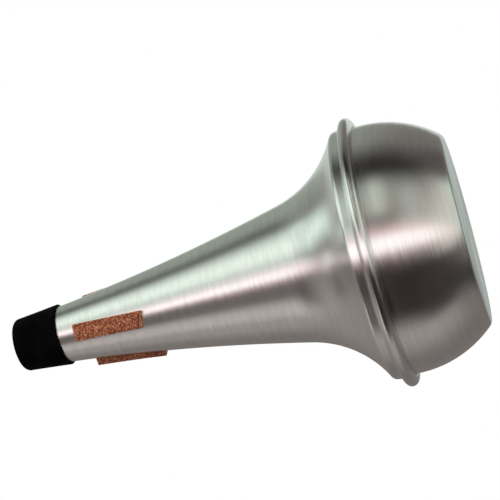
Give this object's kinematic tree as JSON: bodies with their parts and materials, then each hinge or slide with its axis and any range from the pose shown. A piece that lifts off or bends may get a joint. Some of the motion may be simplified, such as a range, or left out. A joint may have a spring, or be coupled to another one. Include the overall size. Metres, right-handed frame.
{
  "type": "trombone straight mute",
  "caption": "Spun aluminium straight mute for a tenor trombone: a slender horn hemmed to a flat-based bowl, with a rubber tip sleeve and cork grip strips on the neck.",
  "frame": {"origin": "middle of the flat wide end, where the mute stands", "axes": "+Z runs along the mute's own axis, from the flat wide end to the open narrow end; -Y points to the side with the slanting cork strip"},
  "size_m": [0.1308, 0.1308, 0.2262],
  "materials": {
    "satin_aluminium": "satin, with fine spinning marks round the axis",
    "black_rubber": "matte",
    "cork": "raw pressed cork with dark and light granules"
  },
  "bodies": {
    "root": {"horn_shell": "satin_aluminium", "base_bowl": "satin_aluminium", "tip_sleeve": "black_rubber", "cork_strip_1": "cork", "cork_strip_2": "cork", "cork_strip_3": "cork"}
  },
  "joints": []
}
